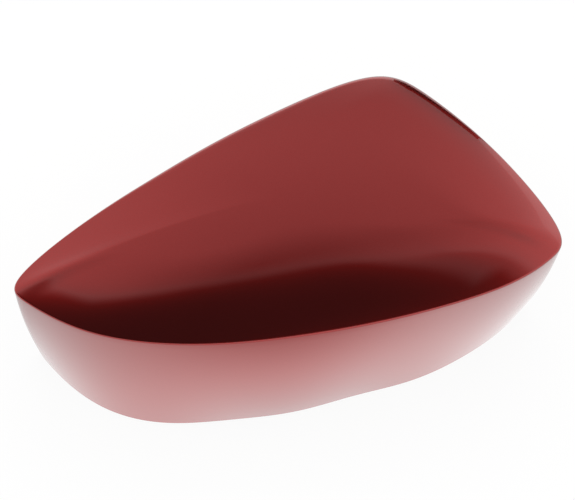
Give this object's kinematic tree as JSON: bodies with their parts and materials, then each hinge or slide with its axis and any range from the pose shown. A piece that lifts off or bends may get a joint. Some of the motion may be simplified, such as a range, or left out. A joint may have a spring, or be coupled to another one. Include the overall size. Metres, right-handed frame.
{
  "type": "wing mirror cover",
  "caption": "Painted outer cap of a car wing mirror: a domed shell with a sharp line along its lower side, an open back and snap hooks inside.",
  "frame": {"origin": "under the middle of the box, in the plane of the open rim that the cover lies on", "axes": "+X from the narrow nose to the wide end, +Y toward the long nearly straight upper side, +Z out of the painted face"},
  "size_m": [0.2062, 0.1164, 0.1044],
  "materials": {
    "painted_shell": "metallic dark red body paint under clear coat, bare grey plastic inside"
  },
  "bodies": {
    "root": {"mirror_cover": "painted_shell"}
  },
  "joints": []
}
